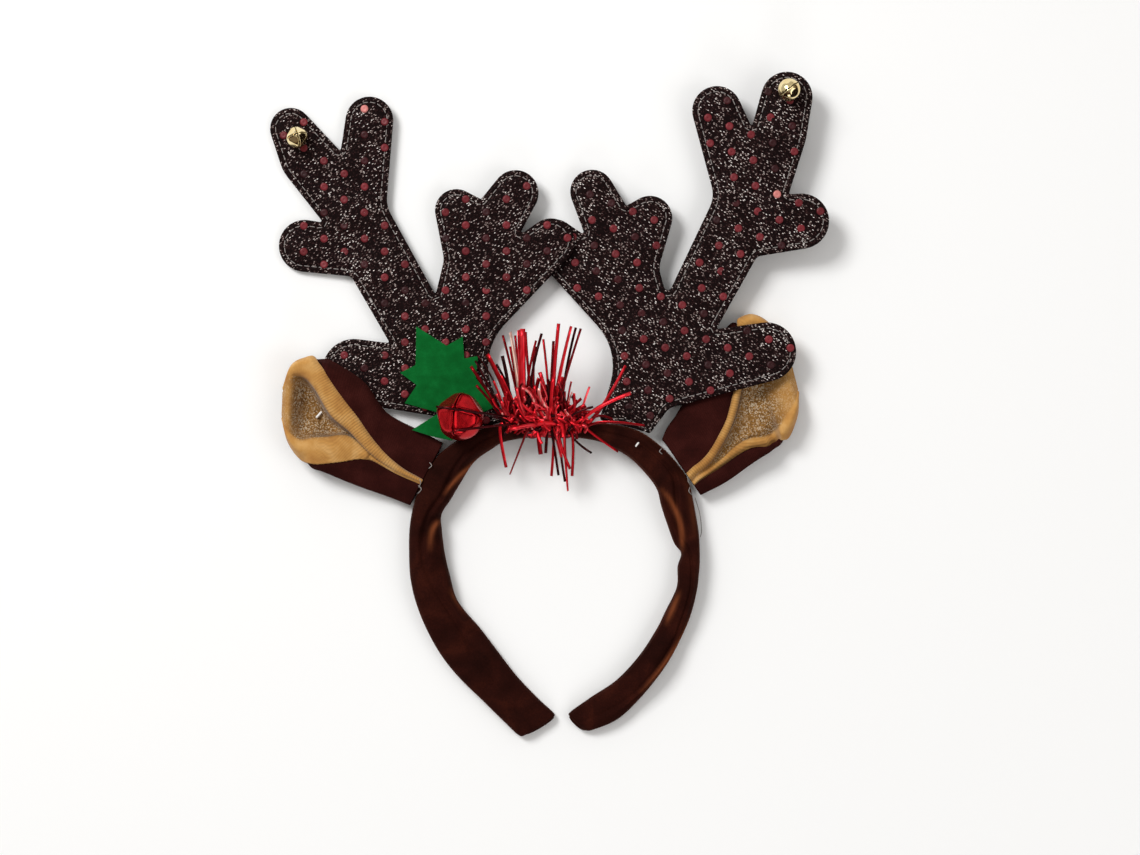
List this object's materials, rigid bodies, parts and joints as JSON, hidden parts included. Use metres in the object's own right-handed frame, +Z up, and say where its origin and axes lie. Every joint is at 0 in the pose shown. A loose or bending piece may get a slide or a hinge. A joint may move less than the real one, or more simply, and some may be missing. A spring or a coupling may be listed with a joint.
{
  "type": "reindeer antler headband",
  "caption": "Velvet-covered hair hoop with padded sequin-cloth antlers, folded cloth ears, felt holly, jingle bells and a burst of foil tinsel, lying on its back.",
  "frame": {"origin": "centre of the base of the bounding box, on the surface that the headband lies on", "axes": "+Z up, out of the front of the headband, +Y from the open ends of the hoop towards the antlers' tips, +X to the right as the front is seen"},
  "size_m": [0.2276, 0.2702, 0.0298],
  "materials": {
    "velvet": "dark brown velvet",
    "sequin_cloth": "dark cloth with metallic thread and sequins",
    "brown_knit": "dark brown knit",
    "tan_rib": "tan rib knit",
    "holly_felt": "green felt",
    "red_metal": "glossy red metallic",
    "gold_metal": "bright",
    "red_foil": "metallised film"
  },
  "bodies": {
    "root": {"headband": "velvet", "left_antler": "sequin_cloth", "right_antler": "sequin_cloth", "left_ear_shell": "brown_knit", "right_ear_shell": "brown_knit", "left_ear_lining": "tan_rib", "right_ear_lining": "tan_rib", "holly_leaf": "holly_felt", "small_holly_leaf": "holly_felt", "red_bell": "red_metal", "left_gold_bell": "gold_metal", "right_gold_bell": "gold_metal", "tinsel": "red_foil"}
  },
  "joints": []
}
